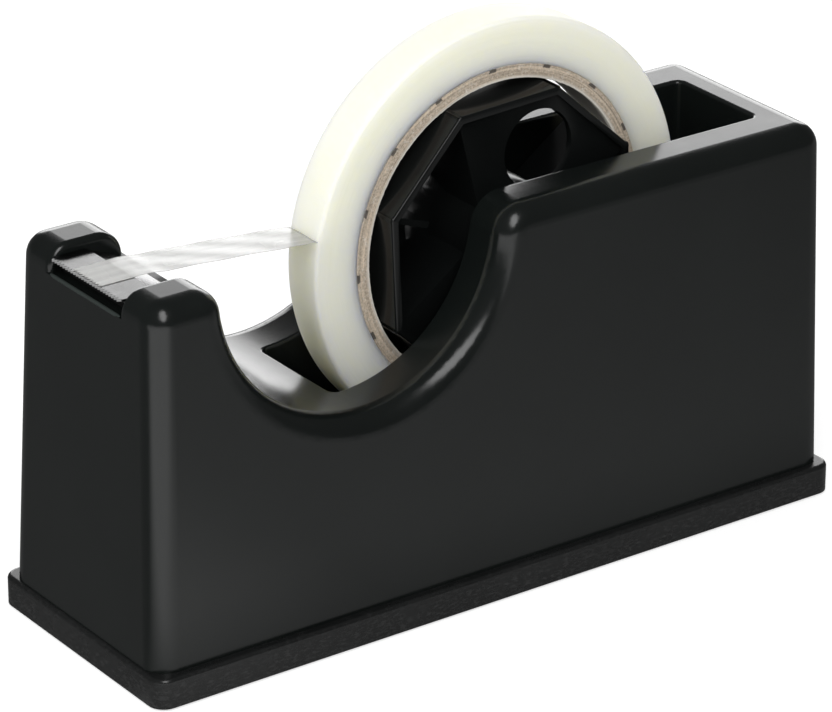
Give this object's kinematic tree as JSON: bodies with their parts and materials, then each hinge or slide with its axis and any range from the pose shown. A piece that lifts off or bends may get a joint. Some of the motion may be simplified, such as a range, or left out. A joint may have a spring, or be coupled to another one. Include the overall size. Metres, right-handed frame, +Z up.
{
  "type": "tape dispenser",
  "caption": "Weighted desk tape dispenser: black moulded shell with a valley, serrated cutter between horns, and a tape roll on a large core turning on a lift-out hub.",
  "frame": {"origin": "on the desk, under the middle of the base", "axes": "+X from the cutter to the rear, +Y across to the far side, +Z up"},
  "size_m": [0.2004, 0.0694, 0.1347],
  "materials": {
    "shell": "semi-gloss black",
    "tray": "semi-gloss black",
    "pad": "matt with a fine grain",
    "screws": "zinc plated",
    "weights": "as cast",
    "carrier": "matt black",
    "bracket": "bright",
    "blade": "bright",
    "spindle": "ground",
    "clips": "phosphated",
    "felt": "grey felt",
    "bushes": "off-white acetal",
    "hub": "semi-gloss black",
    "core": "grey-brown board",
    "roll": "milky wound film",
    "film": "clear film"
  },
  "bodies": {
    "dispenser": {"body_shell": "shell", "base_tray": "tray", "base_pad": "pad", "base_screws": "screws", "weight_screws": "screws", "nose_weight": "weights", "floor_weight": "weights", "near_side_weight": "weights", "far_side_weight": "weights", "blade_carrier": "carrier", "blade_bracket": "bracket", "cutter_blade": "blade", "carrier_screws": "screws", "near_saddle": "shell", "far_saddle": "shell"},
    "spindle_set": {"spindle": "spindle", "retaining_clips": "clips", "drag_washers": "felt", "tape_lead": "film"},
    "wheel": {"hub_bushes": "bushes", "inner_hub": "hub", "core_adapter": "hub", "cardboard_core": "core", "tape_roll": "roll"}
  },
  "joints": [
    {"name": "roll_lift", "type": "slide", "parent": "dispenser", "child": "spindle_set", "axis": [0, 0, 1], "range_m": [0, 0.075]},
    {"name": "hub_spin", "type": "hinge", "parent": "spindle_set", "child": "wheel", "pos_m": [0.0169, 0, 0.0815], "axis": [0, 1, 0], "continuous": true}
  ]
}
